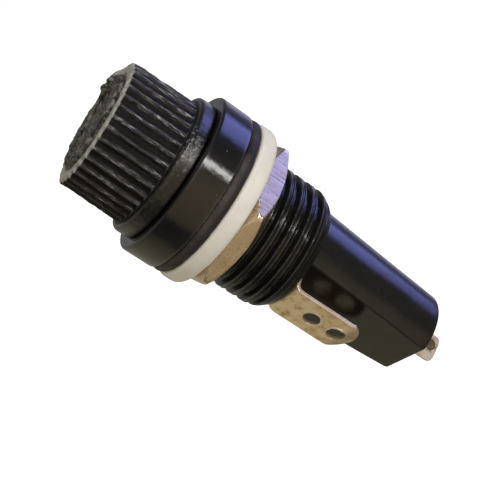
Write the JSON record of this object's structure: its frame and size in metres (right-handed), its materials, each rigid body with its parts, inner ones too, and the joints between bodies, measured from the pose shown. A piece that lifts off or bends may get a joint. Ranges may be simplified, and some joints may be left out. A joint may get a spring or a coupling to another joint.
{
  "type": "cartridge fuse holder",
  "caption": "Panel-mounted screw-cap holder for a small cartridge fuse, with a knurled cap, flanged threaded body, hex nut, washer and solder terminals.",
  "frame": {"origin": "on the holder's axis, in the plane where the panel's front face meets the sealing gasket", "axes": "+Z along the axis out of the panel towards the cap; -Y towards the side terminal"},
  "size_m": [0.0166, 0.0166, 0.0419],
  "materials": {
    "black_phenolic": "satin moulded, worn at the edges",
    "black_rubber": "matte",
    "white_nylon": "smooth, faintly translucent",
    "nickel_plate": "plated brass with tool marks",
    "tinned_brass": "tarnished",
    "tin_plate": "dull plated",
    "spring_steel": "drawn wire",
    "fuse_glass": "clear",
    "fuse_wire": "drawn wire"
  },
  "bodies": {
    "holder": {"holder_body": "black_phenolic", "sealing_gasket": "black_rubber", "contact_shell": "nickel_plate", "side_terminal": "tinned_brass", "end_contact": "nickel_plate", "end_rivet": "nickel_plate", "end_terminal": "tin_plate"},
    "washer": {"panel_washer": "white_nylon"},
    "nut": {"hex_nut": "nickel_plate"},
    "fuse": {"fuse_tube": "fuse_glass", "fuse_cap_front": "nickel_plate", "fuse_cap_rear": "nickel_plate", "fuse_element": "fuse_wire", "contact_plunger": "nickel_plate"},
    "spring": {"cap_spring": "spring_steel"},
    "cap": {"cap_shell": "black_phenolic", "cap_sleeve": "nickel_plate"}
  },
  "joints": [
    {"name": "fuse_withdraw", "type": "slide", "parent": "holder", "child": "fuse", "axis": [0, 0, 1], "range_m": [0, 0.03]},
    {"name": "cap_travel", "type": "slide", "parent": "fuse", "child": "spring", "axis": [0, 0, 1], "range_m": [0, 0.003], "deforming": ["cap_spring"]},
    {"name": "cap_turn", "type": "hinge", "parent": "spring", "child": "cap", "pos_m": [0, 0, 0], "axis": [0, 0, 1], "range_deg": [0, 1080]},
    {"name": "nut_travel", "type": "slide", "parent": "holder", "child": "washer", "axis": [0, 0, -1], "range_m": [0, 0.00635]},
    {"name": "nut_turn", "type": "hinge", "parent": "washer", "child": "nut", "pos_m": [0, 0, 0], "axis": [0, 0, -1], "range_deg": [0, 1800]}
  ],
  "couplings": [
    {"joint": "cap_turn", "follows": "cap_travel", "rad_per_m": 6283.2},
    {"joint": "nut_turn", "follows": "nut_travel", "rad_per_m": 4947.4}
  ]
}
